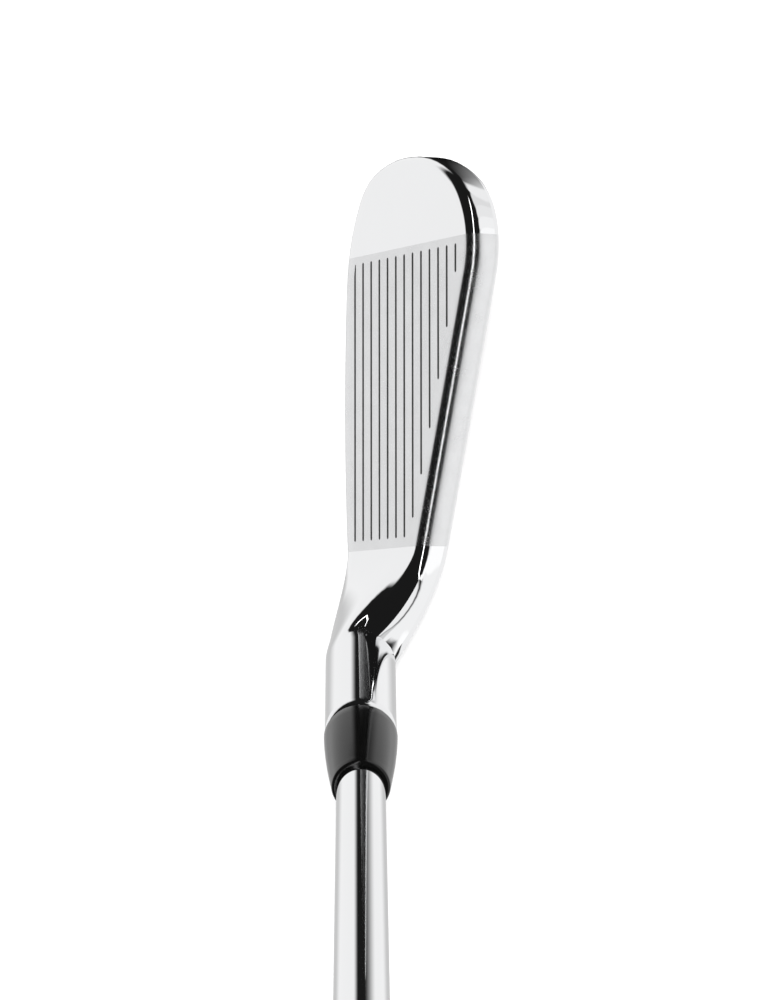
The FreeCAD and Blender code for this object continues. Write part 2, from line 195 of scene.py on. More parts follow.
class Skin:
    """Collects faces by their corners; equal corners are welded when the piece is made."""

    def __init__(self):
        self.bm = bmesh.new()

    def face(self, corners, finish_or_shade=0):
        made = self.bm.faces.new([self.bm.verts.new(c) for c in corners])
        made.material_index = finish_or_shade

    def grid(self, rows, finish_or_shade=0):
        """Quads between neighbouring rows of points."""
        for low, high in zip(rows, rows[1:]):
            for i in range(len(low) - 1):
                self.face([low[i], low[i + 1], high[i + 1], high[i]], finish_or_shade)


# --- head ---------------------------------------------------------------------------------


def blade_columns():
    """Stations round the blade from the topline's heel over the toe to the sole's heel.

    Each is (x, up, outward direction)."""
    top_heading = math.pi - math.atan(TOPLINE_SLOPE)
    lean = 1 / math.cos(math.atan(TOPLINE_SLOPE))
    stations = []
    for x in (PLATE_HEEL, CAVITY_END, -20, -25, -30, -35, -40, -45, -50, -55, -60):
        straight = Vector((0, lean))
        stations.append((x, TOPLINE_HEIGHT - TOPLINE_SLOPE * x, straight))
    x = TOE_START
    up = TOPLINE_HEIGHT - TOPLINE_SLOPE * x
    heading = top_heading
    for radius, degrees in TOE_ARCS:
        steps = math.ceil(degrees / 5.0)
        for i in range(steps):
            turn = heading + math.radians(degrees) * i / steps
            stations.append((*arc_point(x, up, heading, radius, turn), outward(turn)))
        end = heading + math.radians(degrees)
        x, up = arc_point(x, up, heading, radius, end)
        heading = end
    toe_low = x
    edge_xs = [lerp(toe_low, CAVITY_END, k / 12) for k in range(13)] + [PLATE_HEEL]
    for edge_x in edge_xs:
        turn = heading + math.asin((edge_x - x) / EDGE_RADIUS + math.sin(heading)) \
            - math.asin(math.sin(heading))
        ex, eu = arc_point(x, up, heading, EDGE_RADIUS, turn)
        share = min((edge_x - toe_low) / 20.0, 1.0)
        out = outward(turn).lerp(Vector((0, -1)), share)
        stations.append((ex, eu, out))
    return stations


def arc_point(x, up, heading, radius, turn):
    """(x, up) on an arc that turns left from a heading to another."""
    return (x + radius * (math.sin(turn) - math.sin(heading)),
            up - radius * (math.cos(turn) - math.cos(heading)))


def outward(heading):
    return Vector((math.sin(heading), -math.cos(heading)))


def round_edge(radius):
    """Front edge of a profile: from the face round to the side in steps of 15 degrees."""
    points = [(-radius, 0.0)]
    for step in range(1, 7):
        turn = math.radians(15 * step)
        points.append((radius * (math.sin(turn) - 1), radius * (1 - math.cos(turn))))
    return points


def top_profile(bevel):
    """Topline and toe: thin rim with a flat, a narrow rear band and the cavity's wall."""
    return ([(-LIP, 0.0)] + round_edge(bevel)
            + [(0.04, 2.7), (0.06, 3.6), (0.04, 4.5), (0.0, 5.4), (-0.35, 6.3), (-0.8, 6.7),
               (-3.0, 6.7), (-4.4, 6.7), (-5.6, 6.7), (-RIM, 6.3), (-RIM, 5.0), (-RIM, 3.6),
               (-RIM, PLATE_THICKNESS), (-LIP, PLATE_THICKNESS)])


def leading_edge():
    """Lip that meets the face and rolls under it without moving the blade's silhouette."""
    middle = -EDGE_ROUND * (1 - math.cos(LOFT)) / math.sin(LOFT)
    points = []
    for step in range(7):
        turn = math.radians(112 * step / 6)
        points.append((middle + EDGE_ROUND * math.sin(turn), EDGE_ROUND * (1 - math.cos(turn))))
    return points


def sole_profile(depth):
    """Leading edge, rolled sole, trailing edge and muscle; depth scales the sole's width."""
    sole = [(0.0, 4.1), (-0.95, 6.5), (-2.2, 9.2), (-3.9, 12.2), (-5.75, 15.0), (-7.3, 16.2),
            (-9.4, 16.6), (-12.4, 15.2), (-16.3, 12.3)]
    return [(-LIP, 0.0)] + leading_edge() + [(out, back * depth) for out, back in sole]


def profile_points(station):
    """Closed loop of the rim's section at a station, from the face lip outwards and round."""
    x, up, out = station
    bevel = lerp(1.5, BEVEL, smooth(x, -86, -76))
    # The rim's section turns into the sole's section down the toe.
    low = 1 - smooth(up, 13.0, 35.0)
    low = low if x < -60 or up < 20 else 0.0
    top = top_profile(bevel)
    depth = lerp(1.1, 0.93, smooth(x, -75, -12))
    sole = sole_profile(depth)
    inside_x = max(x, CAVITY_TOE)
    fixed = [(CAVITY_FLOOR - 0.6, 8.7), (CAVITY_FLOOR, CHANNEL_DEPTH),
             (CHANNEL_FLOOR, CHANNEL_DEPTH), (CHANNEL_FLOOR, PLATE_THICKNESS)]
    points = []
    for k in range(PROFILE_COUNT):
        o, b = top[k]
        place = Vector((x + out.x * o, up + out.y * o, b))
        if low > 0:
            if k < len(sole):
                o, b = sole[k]
                deep = Vector((x + out.x * o, up + out.y * o, b))
            elif k < PROFILE_COUNT - 1:
                u, b = fixed[k - len(sole)]
                deep = Vector((inside_x, u, b))
            else:
                deep = Vector((x - out.x * LIP, up - out.y * LIP, PLATE_THICKNESS))
            place = place.lerp(deep, low)
        points.append(head_point(*place))
    return points


def back_row(top, low):
    """Back of the neck at one x, from the topline's rear edge to the trailing edge."""
    rows = []
    for i in range(1, NECK_SIDE + 1):
        share = i / (NECK_SIDE + 1)
        bulge = math.sin(math.pi * share) * 1.1
        y = lerp(top.y, low.y, smooth(share, -0.3, 1.05))
        rows.append(Vector((top.x, y + bulge, lerp(top.z, low.z, share))))
    return rows


def face_row(top, low):
    return [top.lerp(low, i / (NECK_SIDE + 1)) for i in range(NECK_SIDE, 0, -1)]


def hermite(start, end, leave, arrive, share):
    s2, s3 = share * share, share ** 3
    return (start * (2 * s3 - 3 * s2 + 1) + leave * (s3 - 2 * s2 + share)
            + end * (3 * s2 - 2 * s3) + arrive * (s3 - s2))


def table_value(table, share):
    """Value at a share between a table's evenly spaced entries."""
    place = share * (len(table) - 1)
    i = min(int(place), len(table) - 2)
    return lerp(table[i], table[i + 1], place - i)


def flat_edge_end(i, way):
    """Neck curve from the topline's bevel: its end round and along the hosel, and tangents."""
    share = i / FLAT_FRONT
    crease = smooth(share, 0.3, 1.0)
    arrive = (SHAFT_WAY * 6).lerp(CREASE_WAY * 15.5, crease)
    return (lerp(TOE_ANGLE, FLAT_ANGLE, share), lerp(24.6, 27.5, share ** 1.5),
            way * lerp(13, 15.5, crease), arrive)


def flat_end(i, way):
    """Neck curve from the topline's flat and band, which end in a crease across the hosel."""
    share = (i - FLAT_FRONT) / (BAND_REAR - FLAT_FRONT)
    angle = table_value([FLAT_ANGLE, 36, 47, 60, 72, 80, BAND_ANGLE], share)
    along = table_value([27.5, 27.0, 26.7, 26.7, 26.8, 26.9, 27.0], share)
    arrive = (CREASE_WAY * 15.5).lerp(BAND_WAY * 13, share)
    return angle, along, way * lerp(15.5, 22.7, share), arrive


def back_end(i, way):
    share = (i - BAND_REAR) / (NECK_SIDE + 1)
    arrive = BAND_WAY.lerp(SHAFT_WAY, smooth(share, 0.0, 0.4)) * lerp(13, 20, share)
    return (lerp(BAND_ANGLE, SOLE_ANGLE, share), lerp(27.7, 16.0, share ** 0.8),
            way * lerp(22.7, 24, share), arrive)


def sole_end(i, way):
    share = (i - BAND_REAR - NECK_SIDE - 1) / BAND_REAR
    push = Vector((0, FRONT_PUSH * smooth(share, 0.45, 1.0), 0))
    return (lerp(SOLE_ANGLE, FRONT_ANGLE, share), table_value([16, 13, 12, 15, 24], share),
            (way + push) * lerp(27, 20, share), SHAFT_WAY * lerp(17, 30, share))


def front_end(i, way):
    share = (i - 2 * BAND_REAR - NECK_SIDE - 1) / (NECK_SIDE + 1)
    push = Vector((0, FRONT_PUSH * smooth(share, 0.6, 0.0), 0))
    return (lerp(FRONT_ANGLE, TOE_ANGLE + 360, share),
            table_value([24, 27, 28, 27, 24.6], share),
            (way + push) * lerp(20, 13, share), SHAFT_WAY * lerp(30, 6, share))


def neck_columns(loop, edge_slope):
    """For each point of the section at the plate's heel: its curve's end and tangents.

    The loop runs over the topline, down the back, over the sole and up the face."""
    parts = [(FLAT_FRONT, flat_edge_end), (BAND_REAR, flat_end),
             (BAND_REAR + NECK_SIDE, back_end), (2 * BAND_REAR + NECK_SIDE + 1, sole_end),
             (len(loop), front_end)]
    top_up = loop[0].z
    low_up = loop[-NECK_SIDE - 1].z
    ends = []
    for i, point in enumerate(loop):
        height = min(max((point.z - low_up) / (top_up - low_up), 0.0), 1.0)
        slope = lerp(edge_slope, -TOPLINE_SLOPE, height)
        way = Vector((1, slope * math.sin(LOFT), slope * math.cos(LOFT)))
        part = next(end for last, end in parts if i <= last)
        ends.append(part(i, way))
    return ends


def blade_skin(skin, loops):
    """Rim, cavity's heel wall and plate seat; returns the section at the plate's heel."""
    closed = [loop + loop[:1] for loop in loops]
    skin.grid(closed[1:-1])
    outer = [-1] + list(range(BAND_REAR + 1))
    skin.grid([[loops[j][k] for k in outer] for j in (0, 1)])
    skin.grid([[loops[j][k] for k in outer] for j in (-2, -1)])

    top, low = loops[1], loops[-2]
    back = back_row(top[BAND_REAR], low[BAND_REAR])
    skin.face(top[BAND_REAR:-1] + low[BAND_REAR:-1][::-1] + back[::-1])
    heel_top, heel_low = loops[0], loops[-1]
    heel_back = back_row(heel_top[BAND_REAR], heel_low[BAND_REAR])
    skin.grid([[top[BAND_REAR], *back, low[BAND_REAR]],
               [heel_top[BAND_REAR], *heel_back, heel_low[BAND_REAR]]])
    skin.face([top[-1], top[-2], low[-2], low[-1], heel_low[-1], heel_top[-1]])
    front = face_row(heel_top[0], heel_low[0])
    skin.face([heel_top[-1], heel_low[-1], heel_low[0], *front, heel_top[0]])
    return heel_top[:BAND_REAR + 1] + heel_back + heel_low[:BAND_REAR + 1][::-1] + front


def neck_rings(loop, ends):
    """Rings along the neck's curves, from the plate's heel to the hosel's cylinder."""
    rings = []
    for step in range(NECK_STEPS + 1):
        ring = []
        for point, (angle, along, leave, arrive) in zip(loop, ends):
            end = shaft_point(HOSEL_RADIUS, angle, along)
            ring.append(hermite(point, end, leave, arrive, step / NECK_STEPS))
        rings.append(ring)
    return rings


def hosel_rings(ends):
    """Rings up the hosel, over its rim and down the bore."""
    rings = []
    for step in range(1, HOSEL_STEPS + 1):
        share = step / HOSEL_STEPS
        rings.append([shaft_point(HOSEL_RADIUS, angle, lerp(along, HOSEL_END - 0.3, share))
                      for angle, along, _, _ in ends])
    for radius, along in ((HOSEL_RADIUS - 0.25, HOSEL_END), (BORE_RADIUS, HOSEL_END),
                          (BORE_RADIUS, 40.0), (BORE_RADIUS, BORE_END)):
        rings.append([shaft_point(radius, angle, along) for angle, _, _, _ in ends])
    return rings


def clubhead(material):
    skin = Skin()
    stations = blade_columns()
    loops = [profile_points(s) for s in stations]
    loop = blade_skin(skin, loops)
    a, b = stations[-2], stations[-1]
    ends = neck_columns(loop, (b[1] - a[1]) / (b[0] - a[0]))
    neck = neck_rings(loop, ends)
    rings = neck + hosel_rings(ends)
    skin.grid([ring + ring[:1] for ring in rings])
    skin.face(rings[-1])
    creases = [[row[k] for row in loops[:-1]] for k in (FLAT_REAR, BAND_REAR)]
    creases += [[ring[k] for ring in neck] for k in (FLAT_REAR, BAND_REAR)]
    creases.append(neck[-1][FLAT_FRONT:BAND_REAR + 1])
    return new_piece("head_casting", skin.bm, ["clubhead_body"], material, 42,
                     creases)


def plate_boundary():
    """Edge of the plate, which lies on the body's lip."""
    return [profile_points(s)[0] for s in blade_columns()]


def face_flat(point):
    """(x, up) of a point of the face plane."""
    return Vector((point.x, point.z / math.cos(LOFT)))


def score_line(number):
    """Corners of a score line's mouth and floor, as (x, up)."""
    up = GROOVE_FIRST + number * GROOVE_PITCH
    short = number - LONG_GROOVES
    heel = GROOVE_HEEL
    if number >= LONG_GROOVES:
        heel = SHORT_HEEL - SHORT_STEP * short - SHORT_GROWTH * short * short
    mouth, floor = [], []
    for corners, half, cut in ((mouth, GROOVE_WIDTH / 2, 0.0), (floor, GROOVE_FLOOR / 2, 0.16)):
        for middle, start in ((GROOVE_TOE + half + cut, 90), (heel - half - cut, -90)):
            for i in range(7):
                turn = math.radians(start + 30 * i)
                corners.append(Vector((middle + half * math.cos(turn), up + half * math.sin(turn))))
    return mouth, floor


def striking_plate(material):
    skin = Skin()
    flat = [face_flat(p) for p in plate_boundary()]
    lines = [score_line(n) for n in range(GROOVE_COUNT)]
    points, faces = list(flat), [list(range(len(flat)))]
    for mouth, _ in lines:
        faces.append(list(range(len(points), len(points) + len(mouth))))
        points += mouth
    out = delaunay_2d_cdt(points, [], faces, 1, 1e-6)
    for triangle, owners in zip(out[2], out[5]):
        if set(owners) == {0}:
            skin.face([head_point(*out[0][i], 0) for i in triangle])
    # Groove walls and floors take material 1, a dark grey that is painted shade in the recessed
    # score lines.
    for mouth, floor in lines:
        skin.grid([[head_point(*p, 0) for p in mouth + mouth[:1]],
                   [head_point(*p, GROOVE_DEPTH) for p in floor + floor[:1]]], 1)
        skin.face([head_point(*p, GROOVE_DEPTH) for p in floor], 1)
    skin.grid([[head_point(*p, 0) for p in flat + flat[:1]],
               [head_point(*p, PLATE_THICKNESS) for p in flat + flat[:1]]])
    skin.face([head_point(*p, PLATE_THICKNESS) for p in flat])
    return new_piece("striking_plate", skin.bm, ["face_plate"], material, 20)


# --- parts turned about the shaft's axis --------------------------------------------------


def turned(name, profile, node, material, segments=96, sharp_angle=35.0):
    """Closed (radius, along) profile turned about the shaft's axis, with a map of its turn."""
    bm = bmesh.new()
    layer = bm.loops.layers.uv.new("turn")
    rings = []
    for radius, along in profile:
        rings.append([bm.verts.new(shaft_point(radius, 360 * i / segments, along))
                      for i in range(segments)])
    count = len(rings)
    for r in range(count):
        low, high = rings[r], rings[(r + 1) % count]
        alongs = (profile[r][1], profile[(r + 1) % count][1])
        for i in range(segments):
            n = (i + 1) % segments
            face = bm.faces.new([low[i], low[n], high[n], high[i]])
            for corner, (turn, along) in zip(face.loops, ((i, 0), (i + 1, 0), (i + 1, 1), (i, 1))):
                corner[layer].uv = (turn / segments, alongs[along] * MM)
    return new_piece(name, bm, [node], material, sharp_angle)


def tip_outer(along):
    return lerp(TIP_RADIUS, TAPER_RADIUS, (along - TIP_START) / (TAPER_END - TIP_START))


def shaft_profile():
    outer = [(TIP_RADIUS - 0.15, TIP_START), (TIP_RADIUS, TIP_START + 0.15)]
    outer += [(tip_outer(a), a) for a in (HOSEL_END, 90, 120, 150, TAPER_END)]
    growth = (BUTT_RADIUS - TAPER_RADIUS) / STEP_COUNT
    for number in range(STEP_COUNT):
        foot = STEP_FIRST + number * STEP_PITCH
        radius = TAPER_RADIUS + number * growth
        for share in (0.0, 0.2, 0.5, 0.8, 1.0):
            outer.append((radius + growth * smooth(share, 0, 1), foot + share * STEP_LENGTH))
    outer.append((BUTT_RADIUS, BUTT_END))
    inner = [(radius - WALL, along) for radius, along in reversed(outer[1:])]
    return outer + inner


def ferrule_profile():
    """Full at the hosel, a long taper, and a small rounded rim on the shaft."""
    outer = [(HOSEL_RADIUS - 0.1, HOSEL_END + 0.02), (HOSEL_RADIUS + 0.02, HOSEL_END + 0.15),
             (FERRULE_BIG, HOSEL_END + 0.7)]
    length = FERRULE_END - HOSEL_END
    for i in range(3, 23):
        share = i / 24
        radius = lerp(FERRULE_BIG, FERRULE_SMALL, share ** 1.7)
        outer.append((radius, HOSEL_END + length * share))
    end = lerp(FERRULE_BIG, FERRULE_SMALL, (23 / 24) ** 1.7)
    for turn in (0, 25, 50, 75, 90):
        t = math.radians(turn)
        outer.append((end - 0.6 * (1 - math.cos(t)), FERRULE_END - 0.6 * (1 - math.sin(t))))
    bore = [(tip_outer(a) + 0.01, a) for a in (FERRULE_END, HOSEL_END + 0.02)]
    return outer + bore


def grip_profile():
    bore = BUTT_RADIUS + 0.15
    length = BUTT_END - GRIP_START
    outer = [(bore + 0.2, GRIP_START)]
    for turn in (0, 30, 60, 90):
        t = math.radians(turn)
        outer.append((GRIP_MOUTH - 0.8 * (1 - math.sin(t)), GRIP_START + 0.8 * (1 - math.cos(t))))
    for i in range(2, 61):
        along = GRIP_START + length * i / 60
        share = i / 60
        radius = lerp(GRIP_MOUTH, GRIP_MIDDLE, share / 0.667) if share < 0.667 else \
            lerp(GRIP_MIDDLE, GRIP_BUTT, min((share - 0.667) / 0.28, 1.0))
        outer.append((radius, along))
    return outer + [(bore, BUTT_END), (bore, GRIP_START)]


def cap_profile():
    top = BUTT_END + CAP_THICKNESS
    outer = [(VENT_RADIUS, BUTT_END), (GRIP_BUTT, BUTT_END), (GRIP_BUTT + 0.5, BUTT_END + 0.35),
             (CAP_RADIUS, BUTT_END + 1.2)]
    for turn in range(0, 91, 15):
        t = math.radians(turn)
        outer.append((CAP_RADIUS - 2.0 * (1 - math.cos(t)), top - 2.0 * (1 - math.sin(t))))
    outer += [(10.4, top), (10.2, top - 0.35), (9.6, top - 0.35), (9.4, top),
              (VENT_RADIUS + 0.4, top), (VENT_RADIUS, top - 0.4)]
    return outer


def band_profile():
    growth = (BUTT_RADIUS - TAPER_RADIUS) / STEP_COUNT
    under = TAPER_RADIUS + 10 * growth
    over = under + BAND_FILM
    end = BAND_START + BAND_LENGTH
    return [(under, BAND_START), (over - 0.02, BAND_START), (over, BAND_START + 0.06),
            (over, end - 0.06), (over - 0.02, end), (under, end)]


# --- materials ----------------------------------------------------------------------------


class Nodes:
    """Short way to write a material's node tree."""

    def __init__(self, name):
        self.material = bpy.data.materials.new(name)
        self.material.use_nodes = True
        self.tree = self.material.node_tree
        self.shader = self.tree.nodes["Principled BSDF"]

    def add(self, kind, inputs=None, **settings):
        node = self.tree.nodes.new(kind)
        for key, value in settings.items():
            setattr(node, key, value)
        for key, value in (inputs or {}).items():
            self.set(node, key, value)
        return node

    def set(self, node, key, value):
        if isinstance(value, bpy.types.NodeSocket):
            self.tree.links.new(value, node.inputs[key])
        else:
            node.inputs[key].default_value = value

    def math(self, operation, *values):
        node = self.add("ShaderNodeMath", operation=operation)
        for i, value in enumerate(values):
            self.set(node, i, value)
        return node.outputs[0]

    def place(self, kind="Object"):
        return self.add("ShaderNodeTexCoord").outputs[kind]

    def noise(self, place, scale, detail=4.0, rough=0.55):
        node = self.add("ShaderNodeTexNoise", {"Vector": place, "Scale": scale,
                                               "Detail": detail, "Roughness": rough})
        return node.outputs["Fac"]

    def ramp(self, value, low, high, to_low=0.0, to_high=1.0):
        node = self.add("ShaderNodeMapRange", {"Value": value, "From Min": low, "From Max": high,
                                               "To Min": to_low, "To Max": to_high})
        return node.outputs["Result"]

    def mix(self, share, a, b):
        node = self.add("ShaderNodeMix", {"Factor": share}, data_type="RGBA")
        self.set(node, 6, a)
        self.set(node, 7, b)
        return node.outputs[2]

    def bump(self, height, strength, distance, normal=None):
        inputs = {"Height": height, "Strength": strength, "Distance": distance}
        if normal is not None:
            inputs["Normal"] = normal
        return self.add("ShaderNodeBump", inputs).outputs["Normal"]

    def surface(self, **values):
        for key, value in values.items():
            self.set(self.shader, key.replace("_", " "), value)
        return self.material


def grey(value, alpha=1.0):
    return (value, value, value, alpha)


def blast_mask(n):
    """1 between the outer ends of the score lines, on the face and the topline."""
    split = n.add("ShaderNodeSeparateXYZ", {"Vector": n.place()})
    x, y, z = split.outputs
    inside = n.math("MULTIPLY", n.ramp(x, (BLAST_TOE - 0.05) * MM, (BLAST_TOE + 0.05) * MM),
                    n.ramp(x, (BLAST_HEEL + 0.05) * MM, (BLAST_HEEL - 0.05) * MM))
    back = n.math("ADD", n.math("MULTIPLY", y, math.cos(LOFT)),
                  n.math("MULTIPLY", z, -math.sin(LOFT)))
    limit = (BLAST_BACK - FACE_OFFSET * math.cos(LOFT)) * MM
    front = n.ramp(back, limit + 0.0002, limit - 0.0002)
    return n.math("MULTIPLY", inside, front)


def chrome(name, blasted):
    """Polished chrome with faint handling haze; the blasted zone is satin with a fine grain."""
    n = Nodes(name)
    place = n.place()
    haze = n.noise(place, 55.0, 5.0)
    polish = n.ramp(haze, 0.35, 0.75, 0.035, 0.075)
    tint = n.mix(n.noise(place, 18.0), (0.77, 0.773, 0.78, 1), (0.81, 0.813, 0.82, 1))
    wave = n.bump(n.noise(place, 140.0, 2.0), 0.02, 0.0004)
    if blasted:
        mask = blast_mask(n)
        grain = n.noise(place, 4200.0, 3.0, 0.7)
        satin = n.ramp(n.noise(place, 260.0, 4.0), 0.3, 0.7, 0.23, 0.28)
        rough = n.math("ADD", n.math("MULTIPLY", mask, satin),
                       n.math("MULTIPLY", n.math("SUBTRACT", 1.0, mask), polish))
        tint = n.mix(mask, tint, n.mix(grain, (0.68, 0.683, 0.69, 1), (0.75, 0.753, 0.76, 1)))
        normal = n.bump(grain, n.math("MULTIPLY", mask, 0.12), 0.00008, wave)
        return n.surface(Base_Color=tint, Metallic=1.0, Roughness=rough, Normal=normal)
    return n.surface(Base_Color=tint, Metallic=1.0, Roughness=polish, Normal=wave)


def ferrule_black():
    n = Nodes("ferrule_gloss_black")
    turn = n.add("ShaderNodeSeparateXYZ", {"Vector": n.place("UV")}).outputs
    lathe = n.noise(n.add("ShaderNodeCombineXYZ", {"Z": turn[1]}).outputs[0], 9000.0, 2.0)
    rough = n.ramp(n.noise(n.place(), 300.0), 0.3, 0.7, 0.10, 0.18)
    colour = n.mix(n.noise(n.place(), 90.0), (0.002, 0.002, 0.002, 1), (0.004, 0.004, 0.004, 1))
    return n.surface(Base_Color=colour, Roughness=rough, Normal=n.bump(lathe, 0.05, 0.00004),
                     Coat_Weight=0.1, Coat_Roughness=0.06, Specular_IOR_Level=0.28)


def grip_rubber():
    """Matt rubber with rows of small raised crosses and plain rings at both ends."""
    n = Nodes("grip_velvet_rubber")
    turn, along, _ = n.add("ShaderNodeSeparateXYZ", {"Vector": n.place("UV")}).outputs
    cell_turn = n.math("FRACT", n.math("MULTIPLY", turn, 30.0))
    cell_row = n.math("FRACT", n.math("MULTIPLY", along, 1 / 0.0026))
    off_turn = n.math("ABSOLUTE", n.math("SUBTRACT", cell_turn, 0.5))
    off_row = n.math("ABSOLUTE", n.math("SUBTRACT", cell_row, 0.5))
    bar_a = n.math("MULTIPLY", n.ramp(off_turn, 0.14, 0.08), n.ramp(off_row, 0.42, 0.36))
    bar_b = n.math("MULTIPLY", n.ramp(off_turn, 0.42, 0.36), n.ramp(off_row, 0.14, 0.08))
    cross = n.math("MAXIMUM", bar_a, bar_b)
    middle = n.math("MULTIPLY", n.ramp(along, 0.688, 0.6885), n.ramp(along, 0.916, 0.9155))
    pattern = n.math("MULTIPLY", cross, middle)
    ring = n.math("MULTIPLY", n.math("SUBTRACT", 1.0, middle),
                  n.ramp(n.math("FRACT", n.math("MULTIPLY", along, 1 / 0.004)), 0.72, 0.78))
    grain = n.noise(n.place(), 2400.0, 4.0, 0.7)
    height = n.math("ADD", n.math("SUBTRACT", pattern, ring), n.math("MULTIPLY", grain, 0.15))
    wear = n.noise(n.place(), 35.0, 5.0)
    colour = n.mix(n.ramp(wear, 0.35, 0.7), (0.020, 0.020, 0.021, 1), (0.034, 0.034, 0.035, 1))
    colour = n.mix(n.math("MULTIPLY", pattern, 0.35), colour, (0.06, 0.06, 0.062, 1))
    rough = n.ramp(wear, 0.3, 0.7, 0.62, 0.78)
    return n.surface(Base_Color=colour, Roughness=rough, Normal=n.bump(height, 0.6, 0.00025))


def plain(name, low, high, scale, rough, metallic=0.0, grain=600.0, depth=0.00004):
    """Mottled material for hidden and small parts: two tones, varied gloss, fine grain."""
    n = Nodes(name)
    place = n.place()
    share = n.noise(place, scale, 5.0)
    colour = n.mix(share, low, high)
    gloss = n.ramp(share, 0.3, 0.7, rough * 0.85, rough * 1.15)
    normal = n.bump(n.noise(place, grain, 4.0), 0.4, depth)
    return n.surface(Base_Color=colour, Metallic=metallic, Roughness=gloss, Normal=normal)


def give(node, material):
    """New material for a CAD node that is kept."""
    slots = frame["nodes"][node].material_slots
    if not slots:
        frame["nodes"][node].data.materials.append(material)
    for slot in slots:
        slot.material = material


# --- stage --------------------------------------------------------------------------------


def camera():
    """Camera nearly overhead, a little towards the grip side, with a long lens."""
    tilt, yaw, roll = (math.radians(a) for a in (CAMERA_TILT, CAMERA_YAW, CAMERA_ROLL))
    forward = Vector((-math.sin(tilt), 0, -math.cos(tilt)))
    right = Vector((0, 1, 0))
    up = Vector((-math.cos(tilt), 0, math.sin(tilt)))
    ahead = forward * math.cos(yaw) + right * math.sin(yaw)
    side = right * math.cos(yaw) - forward * math.sin(yaw)
    right2 = side * math.cos(roll) - up * math.sin(roll)
    up2 = up * math.cos(roll) + side * math.sin(roll)
    data = bpy.data.cameras.new("camera")
    data.lens = CAMERA_LENS
    data.sensor_width = CAMERA_SENSOR
    data.clip_start = 0.02
    data.clip_end = 30.0
    cam = bpy.data.objects.new("camera", data)
    rows = Matrix((right2, up2, -ahead)).transposed().to_4x4()
    cam.matrix_world = Matrix.Translation(CAMERA_PLACE * MM) @ rows
    bpy.context.collection.objects.link(cam)
    bpy.context.scene.camera = cam


def floor():
    bpy.ops.mesh.primitive_plane_add(size=FLOOR_SIZE, location=(0, 0, FLOOR_DROP))
    ground = bpy.context.object
    ground.name = "floor"
    n = Nodes("white_floor")
    colour = n.mix(n.noise(n.place(), 3.0), (0.93, 0.93, 0.93, 1), (0.95, 0.95, 0.95, 1))
    ground.data.materials.append(n.surface(Base_Color=colour, Roughness=0.85))
    ground.visible_glossy = False


class Sky:
    """World node tree: strengths worked out from the direction that a ray takes."""

    def __init__(self):
        self.world = bpy.data.worlds.new("studio")
        self.world.use_nodes = True
        self.world.cycles.sampling_method = "NONE"
        self.tree = self.world.node_tree
        self.tree.nodes.clear()
        self.way = self.node("ShaderNodeTexCoord").outputs["Generated"]
        self.x, self.y, self.z = self.node("ShaderNodeSeparateXYZ", self.way).outputs

    def node(self, kind, *inputs, **settings):
        node = self.tree.nodes.new(kind)
        for key, value in settings.items():
            setattr(node, key, value)
        for socket, value in zip(node.inputs, inputs):
            if isinstance(value, bpy.types.NodeSocket):
                self.tree.links.new(value, socket)
            else:
                socket.default_value = value
        return node

    def math(self, operation, *values):
        return self.node("ShaderNodeMath", *values, operation=operation).outputs[0]

    def fade(self, value, low, high, to_low=0.0, to_high=1.0):
        made = self.node("ShaderNodeMapRange", value, low, high, to_low, to_high,
                         interpolation_type="SMOOTHSTEP")
        return made.outputs["Result"]

    def disc(self, azimuth, elevation, inner, outer, strength):
        """Round softbox; azimuth from +X towards +Y, all angles in degrees."""
        turn, rise = math.radians(azimuth), math.radians(elevation)
        centre = (math.cos(turn) * math.cos(rise), math.sin(turn) * math.cos(rise),
                  math.sin(rise))
        facing = self.node("ShaderNodeVectorMath", self.way, centre, operation="DOT_PRODUCT")
        return self.fade(facing.outputs["Value"], math.cos(math.radians(outer)),
                         math.cos(math.radians(inner)), 0.0, strength)

    def below(self):
        """Pale ground, dimmer straight down, dark towards the toe and far off in front."""
        ground = self.fade(self.math("MULTIPLY", self.z, -1.0), 0.79, 0.94, GROUND, GROUND_UNDER)
        ahead = self.math("MAXIMUM", self.math("MULTIPLY", self.x, -1.0), 0.02)
        side = self.math("DIVIDE", self.y, ahead)
        front = self.fade(self.math("MULTIPLY", side, -1.0), 0.14, 0.36)
        low_back = self.math("MULTIPLY", self.fade(side, 0.10, 0.36),
                             self.fade(self.z, -0.45, -0.25))
        back = self.math("MAXIMUM", self.fade(side, 0.10, 0.72), low_back)
        behind = self.fade(self.x, -0.04, 0.06)
        open_share = self.math("MAXIMUM", self.math("MAXIMUM", front, back), behind)
        far = self.math("MAXIMUM", self.fade(self.z, -0.28, -0.46), self.fade(self.y, -0.05, 0.15))
        open_share = self.math("MULTIPLY", open_share, far)
        return self.math("MULTIPLY", ground, self.math("MAXIMUM", open_share, DARK))

    def above(self):
        """Dark overhead, a long softbox behind the club and a thin strip along X."""
        slant = self.math("DIVIDE", self.y, self.math("MAXIMUM", self.z, 0.05))
        off = self.math("ABSOLUTE", self.math("SUBTRACT", slant, STRIP_SLANT))
        strip = self.math("MULTIPLY", self.fade(off, STRIP_HALF_WIDTH, STRIP_HALF_WIDTH * 0.4),
                          self.fade(self.z, 0.35, 0.55))
        total = self.math("MAXIMUM", self.math("MULTIPLY", strip, STRIP_STRENGTH), DARK)
        for azimuth, elevation, strength in SOFTBOXES:
            total = self.math("MAXIMUM", total, self.disc(azimuth, elevation, 11, 17, strength))
        return total


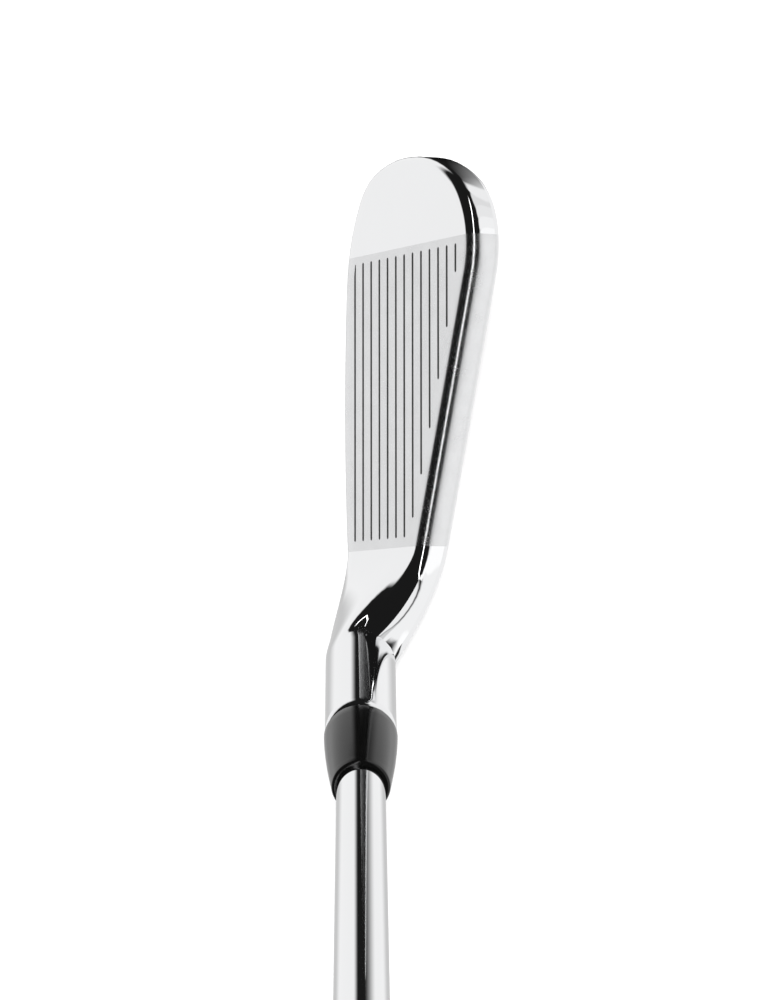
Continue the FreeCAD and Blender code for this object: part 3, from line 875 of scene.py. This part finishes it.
def world():
    """White surroundings to the eye; the metal mirrors a studio with softboxes and gaps."""
    sky = Sky()
    up = sky.fade(sky.z, -0.03, 0.05)
    mirrored = sky.math("ADD", sky.math("MULTIPLY", sky.above(), up),
                        sky.math("MULTIPLY", sky.below(), sky.math("SUBTRACT", 1.0, up)))
    rays = sky.node("ShaderNodeLightPath")
    plain_light = sky.fade(rays.outputs["Is Camera Ray"], 0.0, 1.0, SURROUND_LIGHT, 1.0)
    reflect = rays.outputs["Is Glossy Ray"]
    strength = sky.math("ADD", sky.math("MULTIPLY", mirrored, reflect),
                        sky.math("MULTIPLY", plain_light, sky.math("SUBTRACT", 1.0, reflect)))
    white = (1.0, 1.0, 1.0, 1.0)
    background = sky.node("ShaderNodeBackground", white, strength)
    sky.node("ShaderNodeOutputWorld", background.outputs[0])
    bpy.context.scene.world = sky.world


def overhead_light():
    """Soft overhead light that brings the floor up to white; the metal doesn't mirror it."""
    data = bpy.data.lights.new("overhead", "SUN")
    data.energy = OVERHEAD_LIGHT
    data.angle = math.radians(SUN_SPREAD)
    lamp = bpy.data.objects.new("overhead", data)
    lamp.rotation_euler = (0, math.radians(SUN_LEAN), 0)
    lamp.visible_glossy = False
    bpy.context.collection.objects.link(lamp)


# --- the club -----------------------------------------------------------------------------

chrome_head = chrome("chrome_head", True)
chrome_face = chrome("chrome_face", True)
chrome_shaft = chrome("chrome_shaft", False)

clubhead(chrome_head)
# The plate's second material is a dark grey: painted shade for the score lines' walls and floors.
striking_plate([chrome_face, plain("score_line_painted_shade", grey(0.05), grey(0.10), 300.0, 0.55, 0.6)])
turned("shaft_tube", shaft_profile(), "shaft", chrome_shaft)
turned("ferrule_collar", ferrule_profile(), "ferrule", ferrule_black())
turned("band_decal", band_profile(), "shaft_band",
       plain("band_film", grey(0.09), grey(0.12), 60.0, 0.3))
turned("grip_rubber_sleeve", grip_profile(), "grip_sleeve", grip_rubber(), 120)
turned("grip_cap_rubber", cap_profile(), "grip_end_cap",
       plain("cap_rubber", grey(0.022), grey(0.036), 60.0, 0.6, grain=2400.0))

give("toe_weight", plain("sintered_tungsten", grey(0.20), grey(0.32), 400.0, 0.45, 1.0))
give("damping_insert", plain("urethane", (0.08, 0.08, 0.09, 1), (0.13, 0.13, 0.14, 1), 80.0, 0.5))
give("badge_damper_pad", plain("damper_rubber", grey(0.03), grey(0.05), 90.0, 0.8))
give("cavity_badge", plain("anodised_badge", grey(0.16), grey(0.24), 120.0, 0.35, 1.0))
give("tip_weight_pin", plain("turned_brass", (0.60, 0.45, 0.20, 1), (0.75, 0.58, 0.28, 1), 300.0,
                             0.3, 1.0))
give("hosel_bond_sleeve", plain("cured_epoxy", (0.62, 0.57, 0.42, 1), (0.72, 0.66, 0.50, 1),
                                200.0, 0.25))
give("grip_tape", plain("paper_tape", (0.66, 0.60, 0.48, 1), (0.78, 0.72, 0.58, 1), 150.0, 0.85))

world()
overhead_light()
floor()
camera()
scene = bpy.context.scene
scene.view_settings.view_transform = "Standard"
